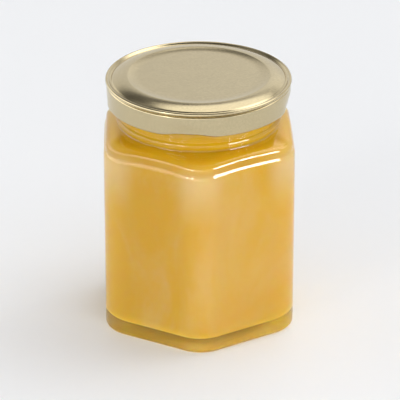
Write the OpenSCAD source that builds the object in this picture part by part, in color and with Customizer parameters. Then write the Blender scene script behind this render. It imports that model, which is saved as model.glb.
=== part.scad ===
// Honey jar: a six-sided glass jar filled with set honey and closed with a twist-off cap.
// The jar stands on z = 0 with its axis on Z. Two flat sides face +X and -X,
// and two of the upright corners lie on +Y and -Y.

/* [Jar body] */
// Distance between opposite flat sides, at the foot
flats = 68.9; // [66:0.1:90]
// Distance that each flat side leans in, from the foot to the shoulder
side_lean = 0.25; // [0:0.05:1]
// Rounding radius of the upright corners
corner_r = 12.5; // [8:0.5:16]
// Height where the shoulder starts to roll in
shoulder_z = 69.3; // [55:0.1:90]
// Thickness of the glass wall
wall_t = 2.5; // [1.8:0.1:3.5]
// Thickness of the glass floor
floor_t = 4.2; // [3:0.1:7]
// Radius of the edge round the foot
heel_r = 1.8; // [1:0.1:4]
// Width of the flat rim that the jar stands on
foot_w = 2.4; // [1.5:0.1:4]
// Depth of the hollow under the floor
hollow_d = 1.2; // [0.4:0.1:2]

/* [Shoulder] */
// Radius of the first bend, from the side to the band
band_bend_r = 5; // [2:0.5:8]
// Lean of the band above the first bend, in degrees
band_lean = 11; // [6:1:20]
// Height of the straight part of the band
band_h = 2.7; // [1:0.1:4]
// Radius of the edge at the top of the band
band_edge_r = 1.2; // [0.6:0.1:2]
// Drop of that edge from the middle of a side to a corner
corner_drop = 0.7; // [0:0.1:1.5]
// Rise of the shoulder from the band to the neck
shoulder_rise = 1.9; // [1:0.1:4]

/* [Neck] */
// Radius of the mouth
mouth_r = 26.4; // [20:0.1:27]
// Thickness of the glass round the mouth
neck_t = 3.0; // [2.4:0.1:3.6]
// Distance that the foot of the neck is set in
neck_in = 0.4; // [0.1:0.1:0.8]
// Radius of the fillet between the shoulder and the neck
neck_fillet_r = 0.8; // [0.4:0.1:1.5]
// Distance that the bead round the neck stands out
bead_d = 0.6; // [0.3:0.1:1]
// Height of the bead
bead_h = 2.6; // [1.5:0.1:4]
// Height of the neck, from its foot to the sealing rim
neck_h = 17.5; // [14:0.1:22]
// Width of the flat land on the sealing rim
land_w = 1.0; // [0.6:0.1:1.6]
// Number of threads
thread_count = 4; // [3:1:6]
// Distance that a thread stands out
thread_d = 1.4; // [0.8:0.1:1.6]
// Width of a thread
thread_w = 1.9; // [1.4:0.1:2.4]
// Angle that one thread covers, in degrees
thread_arc = 62; // [40:1:70]
// Rise of a thread over its length
thread_rise = 1.4; // [0:0.1:2.5]

/* [Honey] */
// Free height between the honey and the cap
headspace = 2.9; // [1:0.1:3.8]

/* [Cap] */
// Height of the cap
cap_h = 10.2; // [7.5:0.1:11]
// Gap between the threads and the curl
thread_gap = 0.7; // [0.3:0.05:1]
// Thickness of the cap's sheet
sheet_t = 0.25; // [0.18:0.01:0.5]
// Width of the ring's slope, from its crest in to the flat centre panel
ring_w = 3.7; // [2:0.1:5]
// Drop from the top of the ring to the centre panel
panel_drop = 0.55; // [0.2:0.05:1]
// Width of the ring's flat crest
crest_w = 1.3; // [1:0.1:2]
// Distance from the outside of the cap in to the groove beside the ring
groove_in = 1.7; // [1.5:0.1:2.2]
// Drop from the top of the ring to the groove
groove_drop = 1.1; // [0.4:0.05:1.2]
// Drop from the top of the ring to the rolled edge
edge_drop = 0.7; // [0.3:0.05:1]
// Radius of the rolled edge
edge_r = 0.65; // [0.4:0.05:0.9]
// Distance that the waist under the edge is set in
waist_d = 0.5; // [0.2:0.05:0.8]
// Distance from the rolled edge in to the skirt
skirt_in = 0.35; // [0:0.05:0.4]
// Radius of the curl along the bottom of the skirt
curl_r = 0.75; // [0.5:0.05:1]
// Number of lugs
lug_count = 4; // [3:1:6]
// Angle that one lug covers, in degrees
lug_arc = 24; // [14:1:30]
// Gap between a lug and the neck
lug_gap = 0.9; // [0.5:0.1:1.2]
// Free height between a lug and the thread above it
lug_slack = 0.7; // [0.3:0.1:1]
// Depth that the curl is pressed flat at a lug
lug_press = 0.9; // [0.4:0.1:1]
// Direction of the front lug, in degrees from the front corner
lug_turn = -8; // [-45:1:45]

/* [Hidden] */

SIDES = 6;
HALF = 180 / SIDES;
FLAT_STEPS = 4;
CORNER_STEPS = 6;
INNER_STEPS = 6;
$fn = 96;

side_a = flats / 2;
lean_end = side_a - side_lean;

// Inside of the glass
inner_corner_r = corner_r - wall_t + 0.8;
inner_heel_r = 5;
floor_dome = 0.5;
inner_turn = 78;

// Slopes and turns of the outside, in millimetres and degrees
hollow_slope = 14;
slope_lean = 66;
bead_turn = 70;
thread_end = 7;

// Radii of the neck
finish_r = mouth_r + neck_t;
neck_r = finish_r - neck_in;
bead_r = finish_r + bead_d;
rim_round = (neck_t - land_w) / 2;
land_in_r = mouth_r + rim_round;
land_out_r = finish_r - rim_round;

// Radii of the cap
curl_c_r = finish_r + thread_d + thread_gap + curl_r;
skirt_r = curl_c_r + curl_r;
cap_r = skirt_r + skirt_in;
crest_in_r = (land_in_r + land_out_r - crest_w) / 2;
crest_out_r = crest_in_r + crest_w;
panel_r = crest_in_r - ring_w;
groove_r = cap_r - groove_in;

// Heights, from the foot to the rim
bend_top_z = shoulder_z + band_bend_r * sin(band_lean);
bend_top_in = band_bend_r * (1 - cos(band_lean));
edge_z = bend_top_z + band_h;
edge_in = bend_top_in + band_h * tan(band_lean);
slope_z = edge_z + band_edge_r * (sin(slope_lean) - sin(band_lean));
slope_in = edge_in + band_edge_r * (cos(band_lean) - cos(slope_lean));
neck_z = slope_z + shoulder_rise;
rim_z = neck_z + neck_h;
bead_z = neck_z + 1.5 * neck_fillet_r;
finish_z = bead_z + bead_h + neck_in;
inner_bend_z = shoulder_z - wall_t;
inner_neck_z = neck_z - neck_fillet_r;
cap_top_z = rim_z + sheet_t;
cap_bottom_z = cap_top_z - cap_h;
honey_z = cap_top_z - panel_drop - sheet_t - headspace;
thread_z = cap_bottom_z + 2 * curl_r + lug_slack + thread_w / 2;
thread_start = -90 + lug_turn - thread_arc / 3;

// --- Rounded six-sided outline, given as a radius for each direction ---

// Radius at direction phi of an outline with half distance a across its flats and corner radius c
function hex_r(phi, a, c) =
    let (turn = abs(mod_turn(phi + HALF, 2 * HALF) - HALF),
         centre = (a - c) / cos(HALF),
         off = HALF - turn)
    a * tan(turn) <= (a - c) * tan(HALF)
        ? a / cos(turn)
        : centre * cos(off) + sqrt(c * c - pow(centre * sin(off), 2));

function mod_turn(angle, whole) = angle - whole * floor(angle / whole);

// Directions of the points of every ring: along each flat, then round each corner
SECTOR = let (half_flat = (side_a - corner_r) * tan(HALF), centre = (side_a - corner_r) / cos(HALF)) concat(
    [for (k = [0 : FLAT_STEPS - 1]) atan(half_flat * (2 * k / FLAT_STEPS - 1) / side_a)],
    [for (k = [0 : CORNER_STEPS - 1]) let (u = 2 * HALF * k / CORNER_STEPS)
        atan2(centre * sin(HALF) + corner_r * sin(u), centre * cos(HALF) + corner_r * cos(u))]);
TURNS = [for (s = [0 : SIDES - 1], phi = SECTOR) phi + 2 * HALF * s];
RING = len(TURNS);

// --- Rings ---

function point(phi, r, z) = [r * cos(phi), r * sin(phi), z];

// A six-sided ring, set in from the side wall, whose corners drop
function side_ring(z, inset, drop = 0) =
    let (a = side_a - side_lean * min(z, shoulder_z) / shoulder_z - inset)
    [for (phi = TURNS) let (r = hex_r(phi, a, max(corner_r - inset, 2)))
        point(phi, r, z - drop * corner_share(phi))];

// A six-sided ring on the inner face of the wall
function inner_ring(z, inset = 0) =
    [for (phi = TURNS) point(phi, inner_r(phi, inset), z)];
function inner_r(phi, inset = 0) =
    hex_r(phi, lean_end - wall_t - inset, max(inner_corner_r - inset, 2));

function round_ring(z, r) = [for (phi = TURNS) point(phi, r, z)];

// Ring between two others, at a share of the way
function between(from, to, share) = [for (k = [0 : RING - 1]) from[k] + (to[k] - from[k]) * share];

function at_height(ring, z) = [for (p = ring) [p[0], p[1], z]];

// How near a direction is to a corner: 0 in the middle of a side, 1 at a corner
function corner_share(phi) =
    (hex_r(phi, side_a, corner_r) - side_a) / (hex_r(HALF, side_a, corner_r) - side_a);

// Distance that the threads stand out at a direction and height
function thread_out(phi, z) =
    let (turn = mod_turn(phi - thread_start, 360 / thread_count),
         off = (z - thread_z - thread_rise * turn / thread_arc) / (thread_w / 2),
         ends = min(1, turn / thread_end, (thread_arc - turn) / thread_end))
    turn >= thread_arc || abs(off) >= 1 ? 0 : thread_d * sqrt(1 - off * off) * ends;

function thread_ring(z) = [for (phi = TURNS) point(phi, finish_r + thread_out(phi, z), z)];

// --- Stretches of rings ---

foot_rings = [
    for (share = [0 : 0.5 : 1])
        side_ring(hollow_d * (1 - share * share), heel_r + foot_w + hollow_slope * (1 - share)),
    for (t = [0 : 22.5 : 90]) side_ring(heel_r * (1 - cos(t)), heel_r * (1 - sin(t)))];

shoulder_rings = [
    for (t = [0 : band_lean / 2 : band_lean])
        side_ring(shoulder_z + band_bend_r * sin(t), band_bend_r * (1 - cos(t)), corner_drop * t / band_lean / 3),
    for (t = [band_lean : (slope_lean - band_lean) / 4 : slope_lean])
        side_ring(edge_z + band_edge_r * (sin(t) - sin(band_lean)),
                  edge_in + band_edge_r * (cos(band_lean) - cos(t)), corner_drop)];

neck_rings = let (
        slope_top = side_ring(slope_z, slope_in, corner_drop),
        neck_foot = round_ring(neck_z, neck_r + neck_fillet_r)) [
    for (share = [1 / 3, 2 / 3]) between(slope_top, neck_foot, share),
    for (t = [0 : 45 : 90])
        round_ring(neck_z + neck_fillet_r * (1 - cos(t)), neck_r + neck_fillet_r * (1 - sin(t))),
    for (t = [-bead_turn : bead_turn / 2 : bead_turn])
        round_ring(bead_z + bead_h / 2 * (1 + sin(t) / sin(bead_turn)),
                   neck_r + (bead_r - neck_r) * (cos(t) - cos(bead_turn)) / (1 - cos(bead_turn))),
    round_ring(finish_z, finish_r)];

thread_rings = let (low = thread_z - thread_w / 2, high = thread_z + thread_rise + thread_w / 2)
    [for (k = [0 : 6]) thread_ring(low + (high - low) * k / 6)];

rim_rings = [
    for (t = [0 : 30 : 90])
        round_ring(rim_z - rim_round * (1 - sin(t)), land_out_r + rim_round * cos(t)),
    for (t = [90 : -30 : 0])
        round_ring(rim_z - rim_round * (1 - sin(t)), land_in_r - rim_round * cos(t))];

// Inner face of the glass from the floor up to the neck, which is the honey's outer face too
contents_rings = let (low = inner_ring(inner_bend_z), high = round_ring(inner_neck_z, mouth_r)) [
    inner_ring(floor_t, inner_heel_r),
    for (t = [30 : 30 : 90])
        inner_ring(floor_t + inner_heel_r * (1 - cos(t)), inner_heel_r * (1 - sin(t))),
    inner_ring(inner_bend_z),
    for (step = [1 : INNER_STEPS]) let (t = inner_turn * step / INNER_STEPS)
        at_height(between(low, high, (1 - cos(t)) / (1 - cos(inner_turn))),
                  inner_bend_z + (inner_neck_z - inner_bend_z) * sin(t) / sin(inner_turn))];
floor_centre = [0, 0, floor_t + floor_dome];

// --- Closed skins ---

function reversed(list) = [for (k = [len(list) - 1 : -1 : 0]) list[k]];
function flat_list(rings) = [for (ring = rings, p = ring) p];

// Skin over rings that run outwards from a first centre and end at a last centre.
// turned picks the other diagonal of each cell, so that two skins can share a face.
module skin(rings, first_centre, last_centre, turned = false) {
    count = len(rings);
    first = count * RING;
    last = first + 1;
    cells = [for (i = [0 : count - 2], j = [0 : RING - 1])
        let (next = (j + 1) % RING, a = i * RING + j, b = a + RING, c = (i + 1) * RING + next, d = i * RING + next)
        each turned ? [[b, c, d], [b, d, a]] : [[a, b, c], [a, c, d]]];
    ends = [for (j = [0 : RING - 1]) let (next = (j + 1) % RING, top = (count - 1) * RING)
        each [[first, j, next], [last, top + next, top + j]]];
    polyhedron(points = concat(flat_list(rings), [first_centre, last_centre]), faces = concat(cells, ends));
}

module jar() {
    color([0.80, 0.90, 0.90, 0.35])
        skin(concat(foot_rings, shoulder_rings, neck_rings, thread_rings, rim_rings, reversed(contents_rings)),
             [0, 0, hollow_d], floor_centre);
}

module honey() {
    color([0.85, 0.67, 0.33])
        skin(concat(contents_rings, [round_ring(honey_z, mouth_r)]), floor_centre, [0, 0, honey_z], turned = true);
}

// --- Cap ---

// Height of a smooth step from 0 to 1 at a share of the way
function ease(share) = (1 - cos(180 * share)) / 2;

waist_r = cap_r - waist_d;
edge_c = [cap_r - edge_r, cap_top_z - edge_drop - edge_r];
waist_z = edge_c[1] - edge_r - 0.1;
skirt_z = waist_z - 0.8;
lug_inset = 0.15;
curl_c = [curl_c_r, cap_bottom_z + curl_r];

// Top of the cap from the middle of the ring's inner side to the groove, lowered by drop
function top_line(drop) = [
    for (k = [0 : 6]) [panel_r + (crest_in_r - panel_r) * k / 6, cap_top_z - panel_drop * (1 - ease(k / 6)) - drop],
    for (k = [0 : 6]) [crest_out_r + (groove_r - crest_out_r) * k / 6, cap_top_z - groove_drop * ease(k / 6) - drop]];

// Rolled edge, waist and skirt, at a distance inside the outer face
function edge_line(inside) = [
    for (t = [90 : -22.5 : -22.5]) edge_c + (edge_r - inside) * [cos(t), sin(t)],
    [waist_r - inside, waist_z],
    [skirt_r - inside, skirt_z],
    [skirt_r - inside, curl_c[1]]];

module cap_shell() {
    rotate_extrude()
        polygon(concat(
            [[0, cap_top_z - panel_drop]], top_line(0), edge_line(0),
            reversed(edge_line(sheet_t)), reversed(top_line(sheet_t)), [[0, cap_top_z - panel_drop - sheet_t]]));
}

module curl() {
    rotate_extrude() translate(curl_c) circle(r = curl_r, $fn = 24);
}

module lug() {
    rotate([0, 0, -lug_arc / 2])
        rotate_extrude(angle = lug_arc)
            translate([finish_r + lug_gap, cap_bottom_z + lug_inset])
                square([curl_c_r - finish_r - lug_gap, 2 * (curl_r - lug_inset)]);
}

// Block that presses the curl flat in front of a lug
module press() {
    depth = 4;
    below = 1;
    translate([skirt_r - lug_press, 0, cap_bottom_z])
        rotate([0, atan(lug_press / (2 * curl_r)), 0])
            translate([0, -skirt_r / 2, -below])
                cube([depth, skirt_r, below + 2 * curl_r - lug_inset]);
}

module lid() {
    color([0.79, 0.72, 0.56]) {
        difference() {
            union() {
                cap_shell();
                curl();
                for (k = [0 : lug_count - 1]) rotate([0, 0, -90 + lug_turn + 360 * k / lug_count]) lug();
            }
            for (k = [0 : lug_count - 1]) rotate([0, 0, -90 + lug_turn + 360 * k / lug_count]) press();
        }
    }
}

jar();
honey();
lid();
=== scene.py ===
"""Six-sided glass jar of set honey with a gold-coloured twist-off cap."""

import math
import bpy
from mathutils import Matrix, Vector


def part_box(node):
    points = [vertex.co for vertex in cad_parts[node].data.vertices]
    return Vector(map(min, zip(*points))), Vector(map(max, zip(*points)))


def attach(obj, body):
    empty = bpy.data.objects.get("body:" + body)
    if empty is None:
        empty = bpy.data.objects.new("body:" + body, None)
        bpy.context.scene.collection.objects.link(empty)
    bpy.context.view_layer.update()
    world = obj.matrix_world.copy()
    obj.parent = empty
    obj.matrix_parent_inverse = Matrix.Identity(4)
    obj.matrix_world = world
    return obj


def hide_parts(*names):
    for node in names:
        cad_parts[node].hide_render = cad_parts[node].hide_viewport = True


bl_info = {
    "name": "Honey jar",
    "version": (1, 0, 0),
    "blender": (4, 5, 0),
    "location": "3D View > Sidebar > Honey jar",
    "description": "Builds a six-sided glass jar of set honey with a twist-off cap",
    "category": "Object",
}

import bmesh
import bpy
from bpy.props import FloatProperty, FloatVectorProperty, IntProperty, PointerProperty
from mathutils import Vector

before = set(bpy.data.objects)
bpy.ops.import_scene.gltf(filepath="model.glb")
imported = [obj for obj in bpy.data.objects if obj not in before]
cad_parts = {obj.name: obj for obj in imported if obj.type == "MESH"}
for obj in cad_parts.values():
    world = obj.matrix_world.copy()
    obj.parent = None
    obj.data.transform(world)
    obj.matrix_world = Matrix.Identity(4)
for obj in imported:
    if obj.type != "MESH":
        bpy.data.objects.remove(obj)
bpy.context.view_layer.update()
JAR_LOW, JAR_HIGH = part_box("jar")
HONEY_LOW, HONEY_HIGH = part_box("honey")
CAP_LOW, CAP_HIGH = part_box("lid")

MM = 0.001
SIDES = 6
HALF_SIDE = math.pi / SIDES
LEAST_CORNER = 2 * MM


# ---------------------------------------------------------------- settings


def length(name, description, default):
    """Float property in metres."""
    return FloatProperty(
        name=name, description=description, default=default, unit="LENGTH", precision=5
    )


def angle(name, description, degrees):
    """Float property shown in degrees."""
    return FloatProperty(
        name=name, description=description, default=math.radians(degrees), subtype="ANGLE"
    )


def colour(name, description, default):
    """Linear colour property."""
    return FloatVectorProperty(
        name=name, description=description, default=default, subtype="COLOR", size=3, min=0, max=1
    )


def number(name, description, default):
    """Plain float property that isn't negative."""
    return FloatProperty(name=name, description=description, default=default, min=0)


def count(name, description, default, least=0):
    """Whole-number property."""
    return IntProperty(name=name, description=description, default=default, min=least)


class HJ_GlassSettings(bpy.types.PropertyGroup):
    """Sizes and finish of the glass."""

    corner_radius: length("Corner radius", "Rounding of the upright corners", 12.5 * MM)
    side_lean: length("Side lean", "How far each side leans in up to the shoulder", 0.25 * MM)
    wall: length("Wall", "Thickness of the wall", 2.5 * MM)
    floor: length("Floor", "Thickness of the floor", HONEY_LOW.z)
    heel_radius: length("Heel radius", "Radius of the edge round the foot", 1.8 * MM)
    foot_width: length("Foot width", "Width of the rim that the jar stands on", 2.4 * MM)
    hollow_depth: length("Hollow depth", "Depth of the hollow under the floor", 1.2 * MM)
    hollow_slope: length("Hollow slope", "Width of the hollow's slope", 14 * MM)
    inner_heel: length("Inner heel radius", "Radius between the wall and the floor inside", 5 * MM)
    inner_round: length("Inner rounding", "Extra rounding of the corners inside", 0.8 * MM)
    inner_bend: length("Inner bend", "Height where the inside starts to bend in", 66.8 * MM)
    inner_turn: angle("Inner turn", "Steepest lean of the inside under the neck", 78)
    floor_dome: length("Floor dome", "Rise of the floor inside towards its middle", 0.5 * MM)
    step_radius: length("Step radius", "Radius of the rounding under the band", 4.5 * MM)
    step_turn: angle("Step turn", "Steepest lean of that rounding", 31)
    step_fillet: length("Step fillet", "Radius of the hollow under the band", 0.35 * MM)
    band_height: length("Band height", "Height of the band and its rounding", 3.9 * MM)
    band_lean: angle("Band lean", "Lean of the band", 1)
    edge_radius: length("Edge radius", "Radius of the edge at the top of the band", 2.6 * MM)
    edge_turn: angle("Edge turn", "Direction of the shoulder above the edge", 66)
    step_drop: length("Step drop", "Drop of the rounding towards the corners", 0.55 * MM)
    corner_drop: length("Corner drop", "Drop of the band's edge towards the corners", 0.75 * MM)
    shoulder_rise: length("Shoulder rise", "Rise from the band's edge to the neck", 1.0 * MM)
    mouth_radius: length("Mouth radius", "Inner radius of the neck", 26.4 * MM)
    neck_wall: length("Neck wall", "Thickness of the glass round the mouth", 3.0 * MM)
    neck_inset: length("Neck inset", "How far the foot of the neck is set in", 0.4 * MM)
    neck_height: length("Neck height", "Height of the neck, with the sealing ring", 17.5 * MM)
    neck_fillet: length("Neck fillet", "Radius at the foot of the neck", 0.8 * MM)
    bead_depth: length("Bead depth", "How far the bead stands out", 0.6 * MM)
    bead_height: length("Bead height", "Height of the bead", 2.6 * MM)
    bead_turn: angle("Bead turn", "Half of the arc that rounds the bead", 70)
    land_width: length("Land width", "Width of the flat land on the rim", 1.0 * MM)
    rim_gap: length("Rim gap", "Room left for the sealing ring over the rim", 0.5 * MM)
    thread_count: count("Threads", "Number of threads", 4)
    thread_gap: length("Thread gap", "Height of the threads over the lugs", 0.7 * MM)
    thread_depth: length("Thread depth", "How far a thread stands out", 1.4 * MM)
    thread_width: length("Thread width", "Width of a thread", 1.9 * MM)
    thread_rise: length("Thread rise", "Rise of a thread over its length", 1.4 * MM)
    thread_arc: angle("Thread arc", "Angle that one thread covers", 62)
    thread_end: angle("Thread end", "Angle over which a thread runs out", 7)
    flat_steps: count("Flat steps", "Cells along a flat side", 10, least=1)
    corner_steps: count("Corner steps", "Cells round a corner", 16, least=2)
    tint: colour("Tint", "Colour of the glass in its depth", (0.88, 0.97, 0.93))
    tint_density: number("Tint density", "Strength of the tint per metre", 6.0)
    shadow_tint: colour("Shadow tint", "Light that passes straight through", (0.97, 0.98, 0.975))
    refraction: number("Refraction", "Index of refraction", 1.52)


class HJ_HoneySettings(bpy.types.PropertyGroup):
    """Shape and finish of the honey."""

    into_glass: length("Into glass", "How far the honey reaches into the glass", 0.15 * MM)
    swirl_depth: length("Swirl depth", "Depth of the swirl on the honey's surface", 0.5 * MM)
    swirl_turns: number("Swirl turns", "Turns of the swirl", 2.5)
    surface_dip: length("Surface dip", "How far the surface lies under the level", 0.1 * MM)
    edge_dip: length("Edge dip", "How far the surface's edge lies under the level", 0.3 * MM)
    gold: colour("Gold", "Main colour of the honey", (0.67, 0.405, 0.003))
    amber: colour("Amber", "Colour of its clearer patches", (0.65, 0.35, 0.001))
    # Cream is also the colour of the painted reflections at the corners and in the neck
    cream_and_sheen: colour("Cream", "Colour of its crystallised patches", (0.71, 0.54, 0.25))
    # Deep is the colour of the painted shade under the shoulder, where the cap shades the honey
    shoulder_shade: colour("Deep", "Colour under the shoulder, where it is clear", (0.60, 0.35, 0.006))
    cream_share: number("Cream share", "Strength of the crystallised patches", 0.45)
    amber_share: number("Amber share", "Strength of the clearer patches", 0.55)
    # the paler corners are partly a painted reflection of the rounded glass corners
    corner_share: number("Corner share", "Strength of the paler corners", 0.80)
    # the paler honey in the neck is a painted reflection of the glass bead
    neck_sheen_share: number("Froth share", "Strength of the paler honey in the neck", 0.15)
    under_glow: number("Under glow", "Light that comes through to the underside", 0.16)
    neck_glow: number("Neck glow", "Light that comes through to the neck", 0.24)
    scatter: length("Scatter", "How far light spreads in the honey", 6 * MM)


class HJ_CapSettings(bpy.types.PropertyGroup):
    """Sizes and finish of the cap."""

    sheet: length("Sheet", "Thickness of the sheet", 0.25 * MM)
    crest_radius: length("Crest radius", "Radius of the ring's crest", 25.5 * MM)
    crest_round: length("Crest round", "Half width of the crest's rounding", 0.3 * MM)
    rise_width: length("Rise width", "Width of the slope up to the crest", 4.0 * MM)
    rise_lean: angle("Rise lean", "Steepest lean of that slope", 11)
    fall_width: length("Fall width", "Width of the slope from the crest to the groove", 4.8 * MM)
    fall_start: angle("Fall start", "Lean of that slope at the crest", 3)
    fall_end: angle("Fall end", "Lean of that slope at the groove", 22)
    groove_width: length("Groove width", "Width of the steep slope into the groove", 0.5 * MM)
    groove_lean: angle("Groove lean", "Steepest lean of the slope into the groove", 44)
    edge_start: angle("Edge start", "Lean of the groove's side at the rolled edge", 35)
    edge_end: angle("Edge end", "How far the rolled edge turns under", 30)
    edge_drop: length("Edge drop", "Drop from the ring to the rolled edge", 0.85 * MM)
    edge_radius: length("Edge radius", "Radius of the rolled edge", 0.65 * MM)
    waist_gap: length("Waist gap", "Height from the waist to the rolled edge", 0.1 * MM)
    waist_inset: length("Waist inset", "How far the waist under the edge is set in", 0.85 * MM)
    waist_height: length("Waist height", "Height of the slope from waist to skirt", 0.8 * MM)
    skirt_inset: length("Skirt inset", "Distance from the rolled edge in to the skirt", 0.35 * MM)
    curl_radius: length("Curl radius", "Radius of the curl", 0.75 * MM)
    curl_arc: angle("Curl arc", "How far the curl turns in", 300)
    segments: count("Segments", "Cells round the cap", 216, least=24)
    lug_count: count("Lugs", "Number of lugs", 4, least=1)
    lug_turn: angle("Lug turn", "Direction of the front lug", -98)
    lug_arc: angle("Lug arc", "Angle from a lug's middle to its end", 19)
    lug_depth: length("Lug depth", "How far a lug is pressed in", 0.75 * MM)
    lug_lift: length("Lug lift", "How far the edge lifts at a lug", 0.7 * MM)
    lug_rise: length("Lug rise", "Height over which the skirt bends in at a lug", 3.6 * MM)
    lacquer: colour("Lacquer", "Colour of the gold lacquer", (0.62, 0.52, 0.315))
    darker: number("Darker", "Brightness of the lacquer's darkest grain", 0.88)
    roughness: number("Roughness", "Roughness of the lacquer", 0.18)
    roughness_spread: number("Roughness spread", "How far the roughness varies", 0.01)


class HJ_StageSettings(bpy.types.PropertyGroup):
    """Camera, floor and lights."""

    azimuth: angle("Azimuth", "Direction of the camera round the jar", -1.43)
    elevation: angle("Elevation", "Height of the camera over the jar", 26.05)
    distance: length("Distance", "Distance from the camera to its target", 0.9)
    target_height: length("Target height", "Height that the camera looks at", 43.4 * MM)
    side_shift: length("Side shift", "Sideways distance of the camera's target", 0.53 * MM)
    lens: number("Lens", "Focal length in millimetres", 221.3)
    floor_reach: length("Floor reach", "Distance from the jar to the floor's edge", 3.0)
    floor_colour: colour("Floor", "Colour of the floor", (0.892, 0.90, 0.912))
    fill: number("Fill", "Brightness of all the surroundings", 0.10)
    wall_back: number("Back wall", "Brightness added low all round", 0.74)
    wall_front: number("Front wall", "Brightness added low in front", 1.85)
    wall_turn: angle("Wall turn", "Direction of the brightest part of that wall", 242)


# ---------------------------------------------------------------- mesh helpers


def hex_radius(phi, apothem, corner):
    """Radius at direction phi of a rounded six-sided outline with flats facing +X and -X."""
    turn = abs((phi + HALF_SIDE) % (2 * HALF_SIDE) - HALF_SIDE)
    if apothem * math.tan(turn) <= (apothem - corner) * math.tan(HALF_SIDE):
        return apothem / math.cos(turn)
    centre = (apothem - corner) / math.cos(HALF_SIDE)
    off = HALF_SIDE - turn
    return centre * math.cos(off) + math.sqrt(corner**2 - (centre * math.sin(off)) ** 2)


def span(low, high, steps):
    """Evenly spaced values from low to high, with both ends."""
    return [low + (high - low) * k / steps for k in range(steps + 1)]


def ease(share):
    """Smooth step from 0 to 1."""
    return (1 - math.cos(math.pi * share)) / 2


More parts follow.
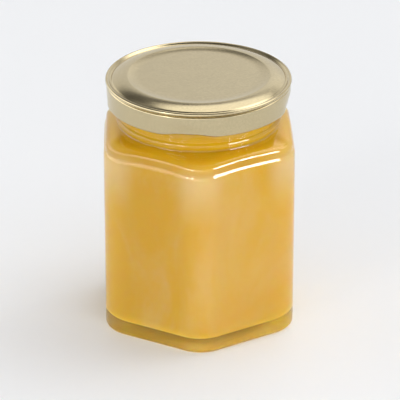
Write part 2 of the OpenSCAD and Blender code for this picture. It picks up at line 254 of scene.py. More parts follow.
class JarShape:
    """Rings of points that follow the jar's rounded six-sided outline."""

    def __init__(self, scene):
        glass = self.glass = scene.honey_jar_glass
        self.cap = scene.honey_jar_cap
        self.apothem = JAR_HIGH.x
        self.rim_z = JAR_HIGH.z - glass.rim_gap
        self.neck_z = JAR_HIGH.z - glass.neck_height
        lean, turn = glass.band_lean, glass.edge_turn
        edge_rise = glass.edge_radius * (math.sin(turn) - math.sin(lean))
        self.edge_z = self.neck_z - glass.shoulder_rise - edge_rise
        self.shoulder_z = self.edge_z - glass.band_height
        self.turns = self.directions()
        self.finish_r = glass.mouth_radius + glass.neck_wall
        self.neck_r = self.finish_r - glass.neck_inset

    def directions(self):
        """Directions of a ring's points: along each flat, then round each corner."""
        glass = self.glass
        half_flat = (self.apothem - glass.corner_radius) * math.tan(HALF_SIDE)
        centre = (self.apothem - glass.corner_radius) / math.cos(HALF_SIDE)
        flat = span(-half_flat, half_flat, glass.flat_steps)[:-1]
        sector = [math.atan2(v, self.apothem) for v in flat]
        for u in span(0, 2 * HALF_SIDE, glass.corner_steps)[:-1]:
            y = centre * math.sin(HALF_SIDE) + glass.corner_radius * math.sin(u)
            x = centre * math.cos(HALF_SIDE) + glass.corner_radius * math.cos(u)
            sector.append(math.atan2(y, x))
        return [phi + 2 * HALF_SIDE * s for s in range(SIDES) for phi in sector]

    def corner_share(self, phi):
        """0 in the middle of a side, 1 at a corner."""
        corner = self.glass.corner_radius
        far = hex_radius(HALF_SIDE, self.apothem, corner) - self.apothem
        return (hex_radius(phi, self.apothem, corner) - self.apothem) / far

    def ring(self, radius, height):
        """Ring whose radius and height are values, or functions of the direction."""
        points = []
        for phi in self.turns:
            r = radius(phi) if callable(radius) else radius
            z = height(phi) if callable(height) else height
            points.append((r * math.cos(phi), r * math.sin(phi), z))
        return points

    def side(self, z, inset, drop=0.0):
        """Ring on the outside of the glass, set in from the side."""
        glass = self.glass
        apothem = self.apothem - glass.side_lean * min(z / self.shoulder_z, 1) - inset
        corner = max(glass.corner_radius - inset, LEAST_CORNER)
        return self.ring(
            lambda phi: hex_radius(phi, apothem, corner),
            lambda phi: z - drop * self.corner_share(phi),
        )

    def inner_radius(self, phi, inset):
        """Radius of the inside of the wall."""
        glass = self.glass
        apothem = self.apothem - glass.side_lean - glass.wall - inset
        corner = max(glass.corner_radius - glass.wall + glass.inner_round - inset, LEAST_CORNER)
        return hex_radius(phi, apothem, corner)

    def foot_rings(self):
        """Rings from the hollow under the floor out to the side."""
        glass, heel = self.glass, self.glass.heel_radius
        inset = heel + glass.foot_width
        rings = []
        for share in span(0, 1, 6):
            z = glass.hollow_depth * (1 - share**2)
            rings.append(self.side(z, inset + glass.hollow_slope * (1 - share)))
        for t in span(0, math.pi / 2, 10):
            rings.append(self.side(heel * (1 - math.cos(t)), heel * (1 - math.sin(t))))
        return rings

    def shoulder_rings(self):
        """Rings up the side, over its rounded top and the band, to the band's edge."""
        glass = self.glass
        lean, turn = glass.band_lean, glass.edge_turn
        rings = []
        for z in span(glass.heel_radius, self.shoulder_z, 12)[1:-1]:
            rings.append(self.side(z, 0, glass.step_drop * (z / self.shoulder_z) ** 3))

        steep, rounding, fillet = glass.step_turn, glass.step_radius, glass.step_fillet
        step = [(rounding * math.sin(t), rounding * (1 - math.cos(t))) for t in span(0, steep, 12)]
        rise, inset = step[-1]
        for t in span(steep, lean, 6)[1:]:
            step.append((rise + fillet * (math.sin(steep) - math.sin(t)),
                         inset + fillet * (math.cos(t) - math.cos(steep))))
        rise, inset = step[-1]
        for z in span(rise, glass.band_height, 4)[1:]:
            step.append((z, inset + (z - rise) * math.tan(lean)))
        for z, inset in step:
            share = z / glass.band_height
            drop = glass.step_drop + (glass.corner_drop - glass.step_drop) * share
            rings.append(self.side(self.shoulder_z + z, inset, drop))
        edge_inset = step[-1][1]
        for t in span(lean, turn, 10)[1:]:
            z = self.edge_z + glass.edge_radius * (math.sin(t) - math.sin(lean))
            inset = edge_inset + glass.edge_radius * (math.cos(lean) - math.cos(t))
            rings.append(self.side(z, inset, glass.corner_drop))
        return rings

    def neck_rings(self):
        """Rings over the shoulder and up the neck, with its bead."""
        glass = self.glass
        lower = self.shoulder_rings()[-1]
        foot = self.ring(self.neck_r + glass.neck_fillet, self.neck_z)
        rings = [
            [tuple(a + (b - a) * share for a, b in zip(p, q)) for p, q in zip(lower, foot)]
            for share in span(0, 1, 5)[1:-1]
        ]
        for t in span(0, math.pi / 2, 6):
            rings.append(self.ring(self.neck_r + glass.neck_fillet * (1 - math.sin(t)),
                                   self.neck_z + glass.neck_fillet * (1 - math.cos(t))))
        side = glass.bead_turn
        bead_z = self.neck_z + 1.5 * glass.neck_fillet
        bead_out = self.finish_r + glass.bead_depth - self.neck_r
        for t in span(-side, side, 12):
            stand = bead_out * (math.cos(t) - math.cos(side)) / (1 - math.cos(side))
            z = bead_z + glass.bead_height / 2 * (1 + math.sin(t) / math.sin(side))
            rings.append(self.ring(self.neck_r + stand, z))
        rings.append(self.ring(self.finish_r, bead_z + glass.bead_height + glass.neck_inset))
        return rings

    def thread_stand(self, phi, z):
        """How far the threads stand out at a direction and height."""
        glass = self.glass
        start = self.cap.lug_turn - glass.thread_arc / 3
        turn = (phi - start) % (2 * math.pi / max(glass.thread_count, 1))
        if turn >= glass.thread_arc or not glass.thread_count:
            return 0
        middle = self.thread_z() + glass.thread_rise * turn / glass.thread_arc
        off = (z - middle) / (glass.thread_width / 2)
        ends = min(1, turn / glass.thread_end, (glass.thread_arc - turn) / glass.thread_end)
        return glass.thread_depth * math.sqrt(max(0, 1 - off * off)) * ends

    def thread_z(self):
        """Height of the lowest thread's middle, a little over the lugs."""
        glass = self.glass
        return CAP_LOW.z + 2 * self.cap.curl_radius + glass.thread_gap + glass.thread_width / 2

    def thread_rings(self):
        """Rings up the neck where the threads are."""
        glass = self.glass
        low = self.thread_z() - glass.thread_width / 2
        high = low + glass.thread_width + glass.thread_rise
        return [
            self.ring(lambda phi, z=z: self.finish_r + self.thread_stand(phi, z), z)
            for z in span(low, high, 12)
        ]

    def rim_rings(self):
        """Rings over the rounded rim."""
        glass = self.glass
        rounding = (glass.neck_wall - glass.land_width) / 2
        rings = []
        for t in span(0, math.pi / 2, 8):
            rings.append(self.ring(self.finish_r - rounding * (1 - math.cos(t)),
                                   self.rim_z - rounding * (1 - math.sin(t))))
        for t in span(math.pi / 2, 0, 8):
            rings.append(self.ring(glass.mouth_radius + rounding * (1 - math.cos(t)),
                                   self.rim_z - rounding * (1 - math.sin(t))))
        return rings

    def inside_rings(self, out=0.0):
        """Rings up the inside of the glass, moved outwards into the glass by out."""
        glass = self.glass
        bend_z, top_z = glass.inner_bend, self.neck_z - glass.neck_fillet
        heel = glass.inner_heel
        rings = []
        for t in span(0, math.pi / 2, 8):
            inset = heel * (1 - math.sin(t)) - out
            z = glass.floor - out + heel * (1 - math.cos(t))
            rings.append(self.ring(lambda phi, i=inset: self.inner_radius(phi, i), z))
        for z in span(glass.floor + heel, bend_z, 10)[1:]:
            rings.append(self.ring(lambda phi: self.inner_radius(phi, -out), z))
        turn = glass.inner_turn
        for t in span(0, turn, 14)[1:]:
            share = (1 - math.cos(t)) / (1 - math.cos(turn))
            z = bend_z + (top_z - bend_z) * math.sin(t) / math.sin(turn) + out / 2 * share

            def radius(phi, share=share):
                low = self.inner_radius(phi, -out)
                return low + (glass.mouth_radius + out - low) * share

            rings.append(self.ring(radius, z))
        return rings


def loft(name, rings, first_centre, last_centre):
    """Closed mesh over rings, with a fan at each end."""
    across = len(rings[0])
    points = [p for ring in rings for p in ring] + [first_centre, last_centre]
    first, last = len(points) - 2, len(points) - 1
    pairs = [(j, (j + 1) % across) for j in range(across)]
    faces = []
    for row in range(0, (len(rings) - 1) * across, across):
        faces += [(row + j, row + k, row + across + k, row + across + j) for j, k in pairs]
    top = (len(rings) - 1) * across
    for j, k in pairs:
        faces.append((first, k, j))
        faces.append((last, top + j, top + k))
    mesh = bpy.data.meshes.new(name)
    mesh.from_pydata(points, [], faces)
    mesh.update()
    return mesh


def add_piece(name, mesh, material, slot, *replaced):
    """Object at the origin that rides on the jar's one body and stands for CAD nodes."""
    point_faces_out(mesh)
    mesh.polygons.foreach_set("use_smooth", [True] * len(mesh.polygons))
    mesh.materials.clear()
    mesh.materials.append(material)
    piece = bpy.data.objects.new(name, mesh)
    bpy.context.scene.collection.objects.link(piece)
    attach(piece, "root")
    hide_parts(*replaced)
    return piece


def point_faces_out(mesh):
    """Make all faces of a closed mesh point outwards."""
    work = bmesh.new()
    work.from_mesh(mesh)
    bmesh.ops.recalc_face_normals(work, faces=work.faces)
    work.to_mesh(mesh)
    work.free()


# ---------------------------------------------------------------- material helpers


class Nodes:
    """Small builder for a node tree."""

    def __init__(self, tree):
        self.tree = tree
        tree.nodes.clear()

    def add(self, kind, inputs=None, **settings):
        """Add a node, set its properties, and set or link its inputs."""
        node = self.tree.nodes.new(kind)
        for key, value in settings.items():
            setattr(node, key, value)
        for key, value in (inputs or {}).items():
            self.join(value, node.inputs[key])
        return node

    def join(self, value, socket):
        """Link an output socket, or set a plain value."""
        if isinstance(value, bpy.types.NodeSocket):
            self.tree.links.new(value, socket)
        else:
            socket.default_value = value

    def math(self, operation, *values):
        """Math node's output."""
        return self.add("ShaderNodeMath", dict(enumerate(values)), operation=operation).outputs[0]

    def mix(self, share, a, b):
        """Mixed colour. Inputs 6 and 7 and output 2 are the mix node's colour sockets."""
        node = self.add("ShaderNodeMix", data_type="RGBA")
        self.join(share, node.inputs[0])
        self.join(a, node.inputs[6])
        self.join(b, node.inputs[7])
        return node.outputs[2]

    def noise(self, vector, scale, detail=2.0, roughness=0.5, distortion=0.0):
        """Noise texture's value."""
        inputs = {"Vector": vector, "Scale": scale, "Detail": detail}
        inputs |= {"Roughness": roughness, "Distortion": distortion}
        return self.add("ShaderNodeTexNoise", inputs).outputs[0]

    def remap(self, value, low, high, to_low=0.0, to_high=1.0):
        """Smooth map of a value from one range to another."""
        ends = {0: value, 1: low, 2: high, 3: to_low, 4: to_high}
        return self.add("ShaderNodeMapRange", ends, interpolation_type="SMOOTHSTEP").outputs[0]

    def along(self, vector, aim):
        """How far a vector points in the direction of another."""
        node = self.add("ShaderNodeVectorMath", {0: vector, 1: aim}, operation="DOT_PRODUCT")
        return node.outputs["Value"]

    def bump(self, height, strength, distance):
        """Normal bent by a height."""
        inputs = {"Strength": strength, "Distance": distance, "Height": height}
        return self.add("ShaderNodeBump", inputs).outputs[0]


def new_material(name):
    """Material and the builder for its nodes."""
    material = bpy.data.materials.new(name)
    material.use_nodes = True
    return material, Nodes(material.node_tree)


def rgba(values):
    """Colour with full opacity."""
    return (*values, 1.0)


def glass_material(settings):
    """Clear glass with a faint tint in its depth and a barely wavy surface."""
    material, nodes = new_material("clear_glass")
    place = nodes.add("ShaderNodeTexCoord").outputs["Object"]
    waves = nodes.noise(place, 90.0, detail=1.0)
    body = nodes.add(
        "ShaderNodeBsdfPrincipled",
        {
            "Base Color": (1, 1, 1, 1),
            "Roughness": 0.0,
            "IOR": settings.refraction,
            "Transmission Weight": 1.0,
            "Normal": nodes.bump(waves, 0.05, 0.6 * MM),
        },
    )
    clear = nodes.add("ShaderNodeBsdfTransparent", {0: rgba(settings.shadow_tint)})
    ray = nodes.add("ShaderNodeLightPath").outputs["Is Shadow Ray"]
    surface = nodes.add("ShaderNodeMixShader", {0: ray, 1: body.outputs[0], 2: clear.outputs[0]})
    tint = {"Color": rgba(settings.tint), "Density": settings.tint_density}
    depth = nodes.add("ShaderNodeVolumeAbsorption", tint)
    ends = {"Surface": surface.outputs[0], "Volume": depth.outputs[0]}
    nodes.add("ShaderNodeOutputMaterial", ends)
    return material


def honey_material(settings, shape):
    """Creamy set honey: soft pale patches, paler corners that are partly a painted reflection,
    painted shade under the shoulder and a painted reflection in the neck.
    """
    material, nodes = new_material("set_honey")
    place = nodes.add("ShaderNodeTexCoord").outputs["Object"]
    height = nodes.add("ShaderNodeSeparateXYZ", {0: place}).outputs[2]
    corner = nodes.add("ShaderNodeAttribute", attribute_name="corner").outputs["Fac"]
    stretch = {"Vector": place, "Scale": (1.0, 1.0, 0.55)}
    stretched = nodes.add("ShaderNodeMapping", stretch).outputs[0]
    gold, amber, cream_and_sheen = rgba(settings.gold), rgba(settings.amber), rgba(settings.cream_and_sheen)

    # crystallised and clearer patches
    clouds = nodes.noise(stretched, 38.0, detail=4.0, roughness=0.55, distortion=0.8)
    grain = nodes.noise(place, 420.0, detail=3.0, roughness=0.6)
    patches = nodes.remap(nodes.math("MULTIPLY_ADD", grain, 0.12, clouds), 0.42, 0.78)
    tone = nodes.mix(nodes.math("MULTIPLY", patches, settings.cream_share), gold, cream_and_sheen)
    clearer = nodes.remap(nodes.noise(stretched, 26.0, distortion=0.3), 0.5, 0.72)
    tone = nodes.mix(nodes.math("MULTIPLY", clearer, settings.amber_share), tone, amber)

    # paler corners, strongest near the shoulder: partly paler crystallised honey, partly a painted
    # reflection of the rounded glass corners
    pale = nodes.remap(corner, 0.15, 0.95, 0.0, settings.corner_share)
    upper = nodes.remap(height, shape.shoulder_z * 0.70, shape.shoulder_z * 0.98, 0.08, 1.0)
    tone = nodes.mix(nodes.math("MULTIPLY", pale, upper), tone, cream_and_sheen)

    # painted shade: deeper, more saturated gold under the shoulder, where the cap shades the
    # honey; paler again in the neck
    shoulder_shade = nodes.remap(height, shape.shoulder_z - 2.0 * MM, shape.neck_z - 2.5 * MM)
    tone = nodes.mix(shoulder_shade, tone, rgba(settings.shoulder_shade))
    # painted reflection: the honey turns paler from the bead upwards
    neck_sheen_z = shape.neck_z + 2.0 * MM
    neck_sheen = nodes.remap(height, neck_sheen_z, neck_sheen_z + 2.5 * MM, 0.0, settings.neck_sheen_share)
    tone = nodes.mix(neck_sheen, tone, cream_and_sheen)

    # light that comes through to the underside and into the neck
    facing = nodes.add("ShaderNodeNewGeometry").outputs["Normal"]
    down = nodes.add("ShaderNodeSeparateXYZ", {0: facing}).outputs[2]
    under = nodes.remap(down, -0.15, -0.9, 0.0, settings.under_glow)
    inside = nodes.remap(height, shape.neck_z, shape.neck_z + 3.0 * MM, 0.0, settings.neck_glow)

    body = nodes.add(
        "ShaderNodeBsdfPrincipled",
        {
            "Base Color": tone,
            "Roughness": nodes.remap(grain, 0.3, 0.7, 0.45, 0.62),
            "Specular IOR Level": 0.05,
            "Emission Color": gold,
            "Emission Strength": nodes.math("ADD", under, inside),
            "Subsurface Weight": 1.0,
            "Subsurface Radius": (1.0, 0.6, 0.15),
            "Subsurface Scale": settings.scatter,
            "Normal": nodes.bump(nodes.noise(place, 1400.0), 0.25, 0.2 * MM),
        },
    )
    nodes.add("ShaderNodeOutputMaterial", {"Surface": body.outputs[0]})
    return material


def cap_material(settings):
    """Pale gold lacquer over tinplate, with a fine grain."""
    material, nodes = new_material("gold_tinplate")
    place = nodes.add("ShaderNodeTexCoord").outputs["Object"]
    cloud = nodes.noise(place, 140.0, detail=3.0, roughness=0.6)
    grain = nodes.noise(place, 1500.0, roughness=0.6)
    darker = [part * settings.darker for part in settings.lacquer]
    speckle = nodes.remap(nodes.math("MULTIPLY_ADD", cloud, 0.3, grain), 0.4, 0.95)
    tone = nodes.mix(speckle, rgba(darker), rgba(settings.lacquer))
    wear = nodes.math("MULTIPLY_ADD", grain, 0.4, cloud)
    smooth = settings.roughness - settings.roughness_spread
    rough = nodes.remap(wear, 0.4, 1.0, smooth, smooth + 2 * settings.roughness_spread)
    body = nodes.add(
        "ShaderNodeBsdfPrincipled",
        {
            "Base Color": tone,
            "Metallic": 1.0,
            "Roughness": rough,
            "Coat Weight": 0.1,
            "Coat Roughness": 0.12,
            "Normal": nodes.bump(grain, 0.3, 0.05 * MM),
        },
    )
    nodes.add("ShaderNodeOutputMaterial", {"Surface": body.outputs[0]})
    return material


# ---------------------------------------------------------------- cap by Geometry Nodes


def cap_profile(settings):
    """Closed outline of the cap's sheet, from the axis over the top, round the curl and back."""
    outer = CAP_HIGH.x
    half = settings.sheet / 2
    panel = settings.crest_radius - settings.crest_round - settings.rise_width
    rise, start_fall, end_fall = settings.rise_lean, -settings.fall_start, -settings.fall_end
    line = [(panel * share, 0) for share in (0, 0.25, 0.5, 0.75, 0.92)]
    line += lean_line((panel, 0), settings.rise_width, 0, rise, 12)
    line += lean_line(line[-1], 2 * settings.crest_round, rise, start_fall, 5)[1:]
    line += lean_line(line[-1], settings.fall_width, start_fall, end_fall, 14)[1:]
    line += lean_line(line[-1], settings.groove_width, end_fall, -settings.groove_lean, 4)[1:]
    lift = CAP_HIGH.z - half - max(z for _, z in line)
    line = [(r, z + lift) for r, z in line]

    edge_r = settings.edge_radius
    edge = (outer - edge_r, CAP_HIGH.z - settings.edge_drop - edge_r)
    rolled = arc(edge, edge_r - half, math.pi / 2 + settings.edge_start, -settings.edge_end, 22)
    slopes = -math.tan(settings.groove_lean), math.tan(settings.edge_start)
    line += bent_line(line[-1], rolled[0], *slopes, 8)[1:-1]
    line += rolled

    skirt = outer - settings.skirt_inset - half
    waist = outer - settings.waist_inset - half
    waist_z = edge[1] - edge_r - settings.waist_gap
    skirt_z = waist_z - settings.waist_height
    for share in span(0, 1, 12)[1:]:
        line.append((waist + (skirt - waist) * ease(share), waist_z + (skirt_z - waist_z) * share))
    curl_r = settings.curl_radius
    curl = (skirt + half - curl_r, CAP_LOW.z + curl_r)
    line += [(skirt, z) for z in span(skirt_z, curl[1], 12)[1:-1]]
    line += arc(curl, curl_r - half, 0, -settings.curl_arc, 24)
    return sheet_outline(line, half)


def arc(centre, radius, start, end, steps):
    """Points on a circle between two directions."""
    return [
        (centre[0] + radius * math.cos(t), centre[1] + radius * math.sin(t))
        for t in span(start, end, steps)
    ]


def lean_line(start, width, lean, end_lean, steps):
    """Points over a width whose lean changes evenly."""
    points = [start]
    step = width / steps
    for share in span(0, 1, steps)[:-1]:
        turn = lean + (end_lean - lean) * (share + 0.5 / steps)
        r, z = points[-1]
        points.append((r + step, z + step * math.tan(turn)))
    return points


def bent_line(start, end, slope, end_slope, steps):
    """Cubic curve between two points with given slopes at its ends."""
    width, rise = end[0] - start[0], end[1] - start[1]
    points = []
    for s in span(0, 1, steps):
        z = (3 * s**2 - 2 * s**3) * rise
        z += ((s**3 - 2 * s**2 + s) * slope + (s**3 - s**2) * end_slope) * width
        points.append((start[0] + width * s, start[1] + z))
    return points


def sheet_outline(line, half):
    """Outline at a half thickness on both sides of a line that starts on the axis."""
    left, right = [], []
    for k, (r, z) in enumerate(line):
        before, after = line[max(k - 1, 0)], line[min(k + 1, len(line) - 1)]
        along = Vector((after[0] - before[0], after[1] - before[1])).normalized()
        left.append((max(r - along.y * half, 0) if k else 0, z + along.x * half))
        right.append((max(r + along.y * half, 0) if k else 0, z - along.x * half))
    return left + right[::-1]


def cap_tree():
    """Geometry Nodes tree that turns a profile round the axis and presses in the lugs."""
    tree = bpy.data.node_groups.new("TurnedCap", "GeometryNodeTree")
    nodes = Nodes(tree)
    sockets = (
        ("Profile", "NodeSocketGeometry"),
        ("Segments", "NodeSocketInt"),
        ("Lug Count", "NodeSocketInt"),
        ("Lug Turn", "NodeSocketFloat"),
        ("Lug Arc", "NodeSocketFloat"),
        ("Lug Depth", "NodeSocketFloat"),
        ("Lug Lift", "NodeSocketFloat"),
        ("Lug Bottom", "NodeSocketFloat"),
        ("Lug Top", "NodeSocketFloat"),
        ("Material", "NodeSocketMaterial"),
    )
    for name, kind in sockets:
        tree.interface.new_socket(name, in_out="INPUT", socket_type=kind)
    tree.interface.new_socket("Cap", in_out="OUTPUT", socket_type="NodeSocketGeometry")
    given = nodes.add("NodeGroupInput").outputs

    profile = {0: given["Profile"]}
    rows = nodes.add("GeometryNodeAttributeDomainSize", profile, component="MESH").outputs[0]
    columns = nodes.math("ADD", given["Segments"], 1.0)
    grid = nodes.add("GeometryNodeMeshGrid", {"Vertices X": columns, "Vertices Y": rows})
    index = nodes.add("GeometryNodeInputIndex").outputs[0]
    row = nodes.math("MODULO", index, rows)
    column = nodes.math("FLOOR", nodes.math("DIVIDE", nodes.math("ADD", index, 0.5), rows))
    place = nodes.add("GeometryNodeInputPosition").outputs[0]
    sample = nodes.add("GeometryNodeSampleIndex", data_type="FLOAT_VECTOR", domain="POINT")
    nodes.join(given["Profile"], sample.inputs["Geometry"])
    nodes.join(place, sample.inputs["Value"])
    nodes.join(row, sample.inputs["Index"])
    point = nodes.add("ShaderNodeSeparateXYZ", {0: sample.outputs[0]}).outputs
    radius, height = point[0], point[2]

    turn = nodes.math("DIVIDE", nodes.math("MULTIPLY", column, 2 * math.pi), given["Segments"])
    half_gap = nodes.math("DIVIDE", math.pi, given["Lug Count"])
    past_lug = nodes.math("SUBTRACT", turn, given["Lug Turn"])
    off = nodes.math("WRAP", past_lug, half_gap, nodes.math("MULTIPLY", half_gap, -1.0))
    off = nodes.math("ABSOLUTE", off)
    inner_arc = nodes.math("MULTIPLY", given["Lug Arc"], 0.25)
    across = nodes.remap(off, inner_arc, given["Lug Arc"], 1.0, 0.0)
    down = nodes.remap(height, given["Lug Bottom"], given["Lug Top"], 1.0, 0.0)
    press = nodes.math("MULTIPLY", across, down)
    radius = nodes.math("SUBTRACT", radius, nodes.math("MULTIPLY", press, given["Lug Depth"]))
    height = nodes.math("ADD", height, nodes.math("MULTIPLY", press, given["Lug Lift"]))
    spot = nodes.add("ShaderNodeCombineXYZ", {
        0: nodes.math("MULTIPLY", radius, nodes.math("COSINE", turn)),
        1: nodes.math("MULTIPLY", radius, nodes.math("SINE", turn)),
        2: height,
    })
    steps = (
        ("GeometryNodeSetPosition", {"Position": spot.outputs[0]}),
        ("GeometryNodeMergeByDistance", {"Distance": 0.002 * MM}),
        ("GeometryNodeSetShadeSmooth", {}),
        ("GeometryNodeRealizeInstances", {}),
        ("GeometryNodeSetMaterial", {"Material": given["Material"]}),
    )
    shape = grid.outputs[0]
    for kind, inputs in steps:
        shape = nodes.add(kind, {"Geometry": shape, **inputs}).outputs[0]
    nodes.add("NodeGroupOutput", {"Cap": shape})
    return tree


def run_tree(source, tree, values):
    """Plain mesh that a tree makes from a mesh, with its inputs given by name."""
    host = bpy.data.objects.new("host", source)
    bpy.context.scene.collection.objects.link(host)
    modifier = host.modifiers.new("Build", "NODES")
    modifier.node_group = tree
    sockets = [item for item in tree.interface.items_tree if item.in_out == "INPUT"]
    identifiers = {item.name: item.identifier for item in sockets}
    for name, value in values.items():
        modifier[identifiers[name]] = value
    bpy.context.view_layer.update()
    shown = host.evaluated_get(bpy.context.evaluated_depsgraph_get())
    mesh = bpy.data.meshes.new_from_object(shown)
    host.modifiers.remove(modifier)
    bpy.data.objects.remove(host)
    if len(mesh.polygons) == 0:
        raise RuntimeError(f"{tree.name} made no faces")
    return mesh


# ---------------------------------------------------------------- operators


class HJ_OT_glass(bpy.types.Operator):
    """Build the glass jar"""

    bl_idname = "honey_jar.glass"
    bl_label = "Glass jar"

    def execute(self, context):
        settings = context.scene.honey_jar_glass
        shape = JarShape(context.scene)
        rings = (
            shape.foot_rings()
            + shape.shoulder_rings()
            + shape.neck_rings()
            + shape.thread_rings()
            + shape.rim_rings()
            + shape.inside_rings()[::-1]
        )
        under = (0, 0, settings.hollow_depth)
        mesh = loft("glass_jar", rings, under, (0, 0, settings.floor + settings.floor_dome))
        add_piece("glass_jar", mesh, glass_material(settings), "clear_glass", "jar")
        return {"FINISHED"}


class HJ_OT_honey(bpy.types.Operator):
    """Build the honey inside the glass"""

    bl_idname = "honey_jar.honey"
    bl_label = "Honey"

    def execute(self, context):
        settings = context.scene.honey_jar_honey
        glass = context.scene.honey_jar_glass
        shape = JarShape(context.scene)
        out = settings.into_glass
        rim = glass.mouth_radius + out
        top = HONEY_HIGH.z - settings.surface_dip
        wall = shape.inside_rings(out)
        neck_foot = wall[-1][0][2]
        for z in span(neck_foot, HONEY_HIGH.z - settings.edge_dip, 6)[1:]:
            wall.append(shape.ring(rim, z))

        def swirl(phi, share):
            wave = math.cos(phi - 2 * math.pi * settings.swirl_turns * share)
            return top - settings.swirl_depth * (0.5 - 0.5 * wave) * math.sin(math.pi * share)

        surface = [
            shape.ring(rim * share, lambda phi, s=share: swirl(phi, s))
            for share in span(1, 0, 24)[1:-1]
        ]
        middle = (0, 0, top)
        foot = (0, 0, glass.floor + glass.floor_dome - out)
        mesh = loft("set_honey", wall + surface, foot, middle)
        mark = mesh.attributes.new("corner", "FLOAT", "POINT")
        for vertex in mesh.vertices:
            phi = math.atan2(vertex.co.y, vertex.co.x)
            mark.data[vertex.index].value = shape.corner_share(phi)
        add_piece("set_honey", mesh, honey_material(settings, shape), "set_honey", "honey")
        return {"FINISHED"}


class HJ_OT_cap(bpy.types.Operator):
    """Build the twist-off cap"""

    bl_idname = "honey_jar.cap"
    bl_label = "Cap"

    def execute(self, context):
        settings = context.scene.honey_jar_cap
        profile = bpy.data.meshes.new("cap_profile")
        points = [(r, 0, z) for r, z in cap_profile(settings)]
        profile.from_pydata(points, [(k, k + 1) for k in range(len(points) - 1)], [])
        material = cap_material(settings)
        curl_top = CAP_LOW.z + 2 * settings.curl_radius
        mesh = run_tree(profile, cap_tree(), {
            "Segments": settings.segments,
            "Lug Count": settings.lug_count,
            "Lug Turn": settings.lug_turn,
            "Lug Arc": settings.lug_arc,
            "Lug Depth": settings.lug_depth,
            "Lug Lift": settings.lug_lift,
            "Lug Bottom": CAP_LOW.z + settings.curl_radius,
            "Lug Top": curl_top + settings.lug_rise,
            "Material": material,
        })
        mesh.name = "twist_cap"
        add_piece("twist_cap", mesh, material, "gold_tinplate", "lid")
        return {"FINISHED"}


# Glows of the surroundings: azimuth, elevation, inner and outer radius in degrees, brightness.
GLOWS = (
    (25, 62, 20, 28, 1.45),
    (18, 30, 6, 18, 0.25),
    (75, 48, 8, 26, 2.2),
    (-48, 60, 8, 20, 0.25),
)
# Heights where the walls start to fade and have faded out, as sines of an elevation.
BACK_WALL_EDGE = (0.46, 0.60)
FRONT_WALL_EDGE = (0.26, 0.52)
# Where the front wall starts and is brightest, as cosines of the angle from its middle.
FRONT_WALL_SIDES = (-0.2, 0.9)
# Lamps: name, azimuth and elevation in degrees, distance, width, height, brightness.
SOFTBOXES = (
    ("right_softbox", 128, 19, 2.6, 1.00, 0.70, 1.65),
    ("left_softbox", 222, 19, 2.6, 0.40, 0.66, 7.0),
)
GLINTS = (
    ("right_glint", 124, 20, 2.5, 1.25, 0.80, 22.0),
    ("left_glint", 228, 20, 2.5, 1.10, 0.68, 1.6),
    ("corner_glint", 206, 20, 2.5, 0.36, 0.68, 11.0),
)
FLOOR_LIGHT = ("floor_light", 150, 62, 2.5, 2.0, 2.0, 1.0)
FLOOR_LIGHT_TINT = (0.96, 0.98, 1.04)


def direction(azimuth, elevation):
    """Direction given in degrees, with azimuth 0 behind the jar and 90 on its right."""
    a, e = math.radians(azimuth), math.radians(elevation)
    return Vector((math.sin(a) * math.cos(e), math.cos(a) * math.cos(e), math.sin(e)))


def softbox(name, azimuth, elevation, distance, width, height, radiance, tint=(1, 1, 1)):
    """Rectangular light that faces the jar from a direction in degrees."""
    centre = Vector((0, 0, (JAR_LOW.z + JAR_HIGH.z) / 2))
    away = direction(azimuth, elevation)
    light = bpy.data.lights.new(name, "AREA")
    light.shape = "RECTANGLE"
    light.size, light.size_y = width, height
    light.energy = math.pi * width * height * radiance
    light.color = tint
    lamp = bpy.data.objects.new(name, light)
    lamp.location = centre + away * distance
    lamp.rotation_euler = away.to_track_quat("Z", "Y").to_euler()
    bpy.context.scene.collection.objects.link(lamp)
    return lamp


def light_only(receiver, lamps):
    """Let lamps light one object and nothing else."""
    only = bpy.data.collections.new(f"{receiver.name}_only")
    only.objects.link(receiver)
    for lamp in lamps:
        lamp.light_linking.receiver_collection = only


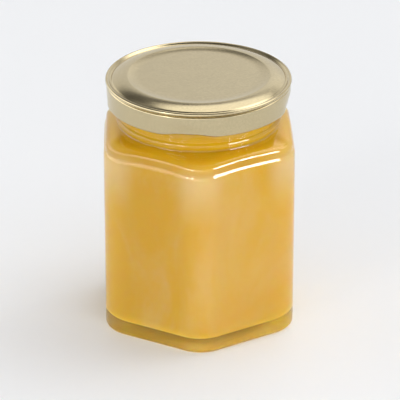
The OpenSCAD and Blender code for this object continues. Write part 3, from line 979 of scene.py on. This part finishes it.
class HJ_OT_stage(bpy.types.Operator):
    """Set up the floor, the lights and the camera"""

    bl_idname = "honey_jar.stage"
    bl_label = "Stage"

    def execute(self, context):
        settings = context.scene.honey_jar_stage
        floor = self.make_floor(settings)
        self.make_surroundings(context.scene, settings)
        for box in SOFTBOXES:
            softbox(*box)
        glints = [softbox(*box) for box in GLINTS]
        for glint in glints:
            glint.visible_transmission = False
        light_only(bpy.data.objects["glass_jar"], glints)
        light_only(floor, [softbox(*FLOOR_LIGHT, FLOOR_LIGHT_TINT)])
        self.make_camera(context.scene, settings)
        context.scene.view_settings.view_transform = "Standard"
        return {"FINISHED"}

    def make_floor(self, settings):
        """Matt paper with a faint fibre."""
        reach = settings.floor_reach
        corners = [(x * reach, y * reach, 0) for x, y in ((-1, -1), (1, -1), (1, 1), (-1, 1))]
        mesh = bpy.data.meshes.new("floor")
        mesh.from_pydata(corners, [], [(0, 1, 2, 3)])
        material, nodes = new_material("floor_paper")
        place = nodes.add("ShaderNodeTexCoord").outputs["Object"]
        low = [part * 0.99 for part in settings.floor_colour]
        tone = nodes.mix(nodes.noise(place, 300.0), rgba(low), rgba(settings.floor_colour))
        paper = {"Base Color": tone, "Roughness": 0.9, "Specular IOR Level": 0.1}
        body = nodes.add("ShaderNodeBsdfPrincipled", paper)
        nodes.add("ShaderNodeOutputMaterial", {"Surface": body.outputs[0]})
        mesh.materials.append(material)
        floor = bpy.data.objects.new("floor", mesh)
        bpy.context.scene.collection.objects.link(floor)
        return floor

    def make_surroundings(self, scene, settings):
        """Pale walls to a low height, a dimmer ceiling and a few soft glows."""
        world = bpy.data.worlds.new("studio")
        world.use_nodes = True
        nodes = Nodes(world.node_tree)
        way = nodes.add("ShaderNodeTexCoord").outputs["Generated"]
        axes = nodes.add("ShaderNodeSeparateXYZ", {0: way}).outputs
        low = nodes.remap(axes[2], *BACK_WALL_EDGE, 1.0, 0.0)
        low_front = nodes.remap(axes[2], *FRONT_WALL_EDGE, 1.0, 0.0)
        side = nodes.along(way, direction(math.degrees(settings.wall_turn), 0))
        front = nodes.remap(side, *FRONT_WALL_SIDES, 0.0, settings.wall_front)
        level = nodes.math("MULTIPLY_ADD", low, settings.wall_back, settings.fill)
        level = nodes.math("ADD", level, nodes.math("MULTIPLY", front, low_front))
        for azimuth, elevation, inner, outer, strength in GLOWS:
            edges = math.cos(math.radians(outer)), math.cos(math.radians(inner))
            near = nodes.along(way, direction(azimuth, elevation))
            level = nodes.math("ADD", level, nodes.remap(near, *edges, 0.0, strength))
        light = nodes.add("ShaderNodeBackground", {"Color": (1, 1, 1, 1), "Strength": level})
        nodes.add("ShaderNodeOutputWorld", {"Surface": light.outputs[0]})
        scene.world = world

    def make_camera(self, scene, settings):
        """Camera in front of the jar and a little over it."""
        a, e = settings.azimuth, settings.elevation
        away = Vector((math.sin(a) * math.cos(e), -math.cos(a) * math.cos(e), math.sin(e)))
        side = Vector((math.cos(a), math.sin(a), 0))
        data = bpy.data.cameras.new("camera")
        data.sensor_width = 36
        data.lens = settings.lens
        data.clip_start, data.clip_end = 0.01, 20
        camera = bpy.data.objects.new("camera", data)
        target = Vector((0, 0, settings.target_height)) + side * settings.side_shift
        camera.location = target + away * settings.distance
        camera.rotation_euler = away.to_track_quat("Z", "Y").to_euler()
        scene.collection.objects.link(camera)
        scene.camera = camera


# ---------------------------------------------------------------- panel and registration


class HJ_PT_panel(bpy.types.Panel):
    """Buttons and sizes of the honey jar"""

    bl_idname = "HJ_PT_panel"
    bl_label = "Honey jar"
    bl_space_type = "VIEW_3D"
    bl_region_type = "UI"
    bl_category = "Honey jar"

    def draw(self, context):
        for operator, settings in STEPS:
            box = self.layout.box()
            box.operator(operator.bl_idname)
            group = getattr(context.scene, settings)
            for name in group.bl_rna.properties.keys():
                if name not in ("rna_type", "name"):
                    box.prop(group, name)


STEPS = (
    (HJ_OT_glass, "honey_jar_glass"),
    (HJ_OT_honey, "honey_jar_honey"),
    (HJ_OT_cap, "honey_jar_cap"),
    (HJ_OT_stage, "honey_jar_stage"),
)
GROUPS = {
    "honey_jar_glass": HJ_GlassSettings,
    "honey_jar_honey": HJ_HoneySettings,
    "honey_jar_cap": HJ_CapSettings,
    "honey_jar_stage": HJ_StageSettings,
}


def register():
    """Add the settings, the operators and the panel to Blender."""
    for name, group in GROUPS.items():
        bpy.utils.register_class(group)
        setattr(bpy.types.Scene, name, PointerProperty(type=group))
    for operator, _ in STEPS:
        bpy.utils.register_class(operator)
    bpy.utils.register_class(HJ_PT_panel)


def unregister():
    """Take them out again."""
    bpy.utils.unregister_class(HJ_PT_panel)
    for operator, _ in reversed(STEPS):
        bpy.utils.unregister_class(operator)
    for name, group in reversed(GROUPS.items()):
        delattr(bpy.types.Scene, name)
        bpy.utils.unregister_class(group)


def main():
    """Build the pieces and the stage."""
    register()
    bpy.ops.honey_jar.glass()
    bpy.ops.honey_jar.honey()
    bpy.ops.honey_jar.cap()
    bpy.ops.honey_jar.stage()


if __name__ == "__main__":
    main()
